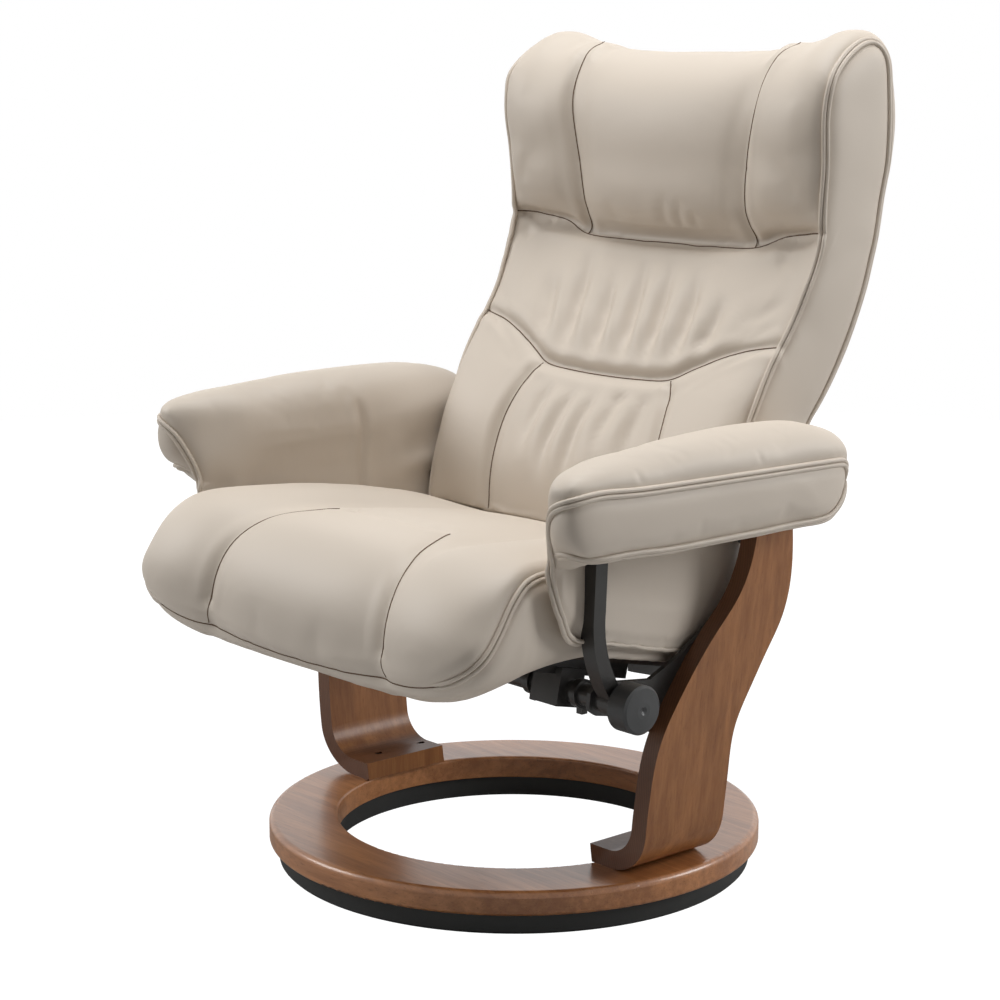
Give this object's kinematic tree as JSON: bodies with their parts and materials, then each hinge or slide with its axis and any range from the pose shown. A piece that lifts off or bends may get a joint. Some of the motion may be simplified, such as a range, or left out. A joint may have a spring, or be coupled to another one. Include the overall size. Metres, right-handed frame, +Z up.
{
  "type": "swivel recliner",
  "caption": "Leather swivel recliner with padded seat, winged back and arms on bent wood legs and a wood ring base that turns on a black floor ring; side knobs set the recline",
  "frame": {"origin": "swivel axis on the floor, the centre of the floor ring's lower face", "axes": "the chair faces -Y, +X is the sitter's left, +Z is up"},
  "size_m": [0.8436, 0.822, 1.0956],
  "materials": {
    "rubber_ring": "black moulded rubber with a fine matte grain",
    "bearing_steel": "plain rolled steel with a light oil film",
    "walnut": "bent beech plies stained walnut under a satin lacquer",
    "fastener_steel": "black oxide screws and bolts",
    "black_steel": "satin black powder coat on steel",
    "black_plastic": "satin black moulded nylon",
    "seat_ply": "bare birch plywood",
    "leather": "warm greige leather sewn over foam"
  },
  "bodies": {
    "floor_base": {"floor_ring": "rubber_ring", "lower_race": "bearing_steel"},
    "bearing": {"ball_cage": "black_plastic", "bearing_balls": "bearing_steel"},
    "base": {"upper_race": "bearing_steel", "race_screws": "bearing_steel", "wood_ring": "walnut", "leg_left": "walnut", "leg_right": "walnut", "foot_screws": "fastener_steel", "leg_bolts": "fastener_steel", "leg_plate_left": "black_steel", "leg_plate_right": "black_steel", "cross_tube": "black_steel", "tube_collars": "black_steel", "arm_bracket_left": "black_steel", "arm_bracket_right": "black_steel", "knob_studs": "black_steel", "knob_washers": "fastener_steel", "glide_block_left": "black_plastic", "glide_block_right": "black_plastic", "arm_board_left": "seat_ply", "arm_board_right": "seat_ply", "arm_pad_left": "leather", "arm_pad_right": "leather", "arm_panel_left": "leather", "arm_panel_right": "leather"},
    "back": {"back_strut_left": "black_steel", "back_strut_right": "black_steel", "back_board": "seat_ply", "back_ties": "black_steel", "drive_rod": "bearing_steel", "pivot_pins": "bearing_steel", "pivot_spacers": "black_plastic", "back_cushion_lower": "leather", "back_cushion_lumbar": "leather", "head_cushion": "leather", "back_shell": "leather"},
    "seat": {"seat_rail_left": "black_steel", "seat_rail_right": "black_steel", "seat_board": "seat_ply", "seat_lug_left": "black_steel", "seat_lug_right": "black_steel", "seat_cushion": "leather", "seat_apron": "leather"},
    "knob_left": {"knob_left": "black_plastic"},
    "knob_right": {"knob_right": "black_plastic"}
  },
  "joints": [
    {"name": "swivel", "type": "hinge", "parent": "floor_base", "child": "base", "pos_m": [0, 0, 0], "axis": [0, 0, 1], "continuous": true},
    {"name": "cage_turn", "type": "hinge", "parent": "floor_base", "child": "bearing", "pos_m": [0, 0, 0], "axis": [0, 0, 1], "continuous": true},
    {"name": "recline", "type": "hinge", "parent": "base", "child": "back", "pos_m": [0, 0.116, 0.466], "axis": [-1, 0, 0], "range_deg": [0, 32]},
    {"name": "seat_glide", "type": "slide", "parent": "base", "child": "seat", "axis": [0, -0.9744, 0.225], "range_m": [0, 0.077]},
    {"name": "knob_turn_left", "type": "hinge", "parent": "base", "child": "knob_left", "pos_m": [0.375, -0.15, 0.307], "axis": [1, 0, 0], "range_deg": [-180, 180]},
    {"name": "knob_turn_right", "type": "hinge", "parent": "base", "child": "knob_right", "pos_m": [-0.375, -0.15, 0.307], "axis": [1, 0, 0], "range_deg": [-180, 180]}
  ],
  "couplings": [
    {"joint": "cage_turn", "follows": "swivel", "ratio": 0.5},
    {"joint": "seat_glide", "follows": "recline", "m_per_rad": 0.1377}
  ]
}
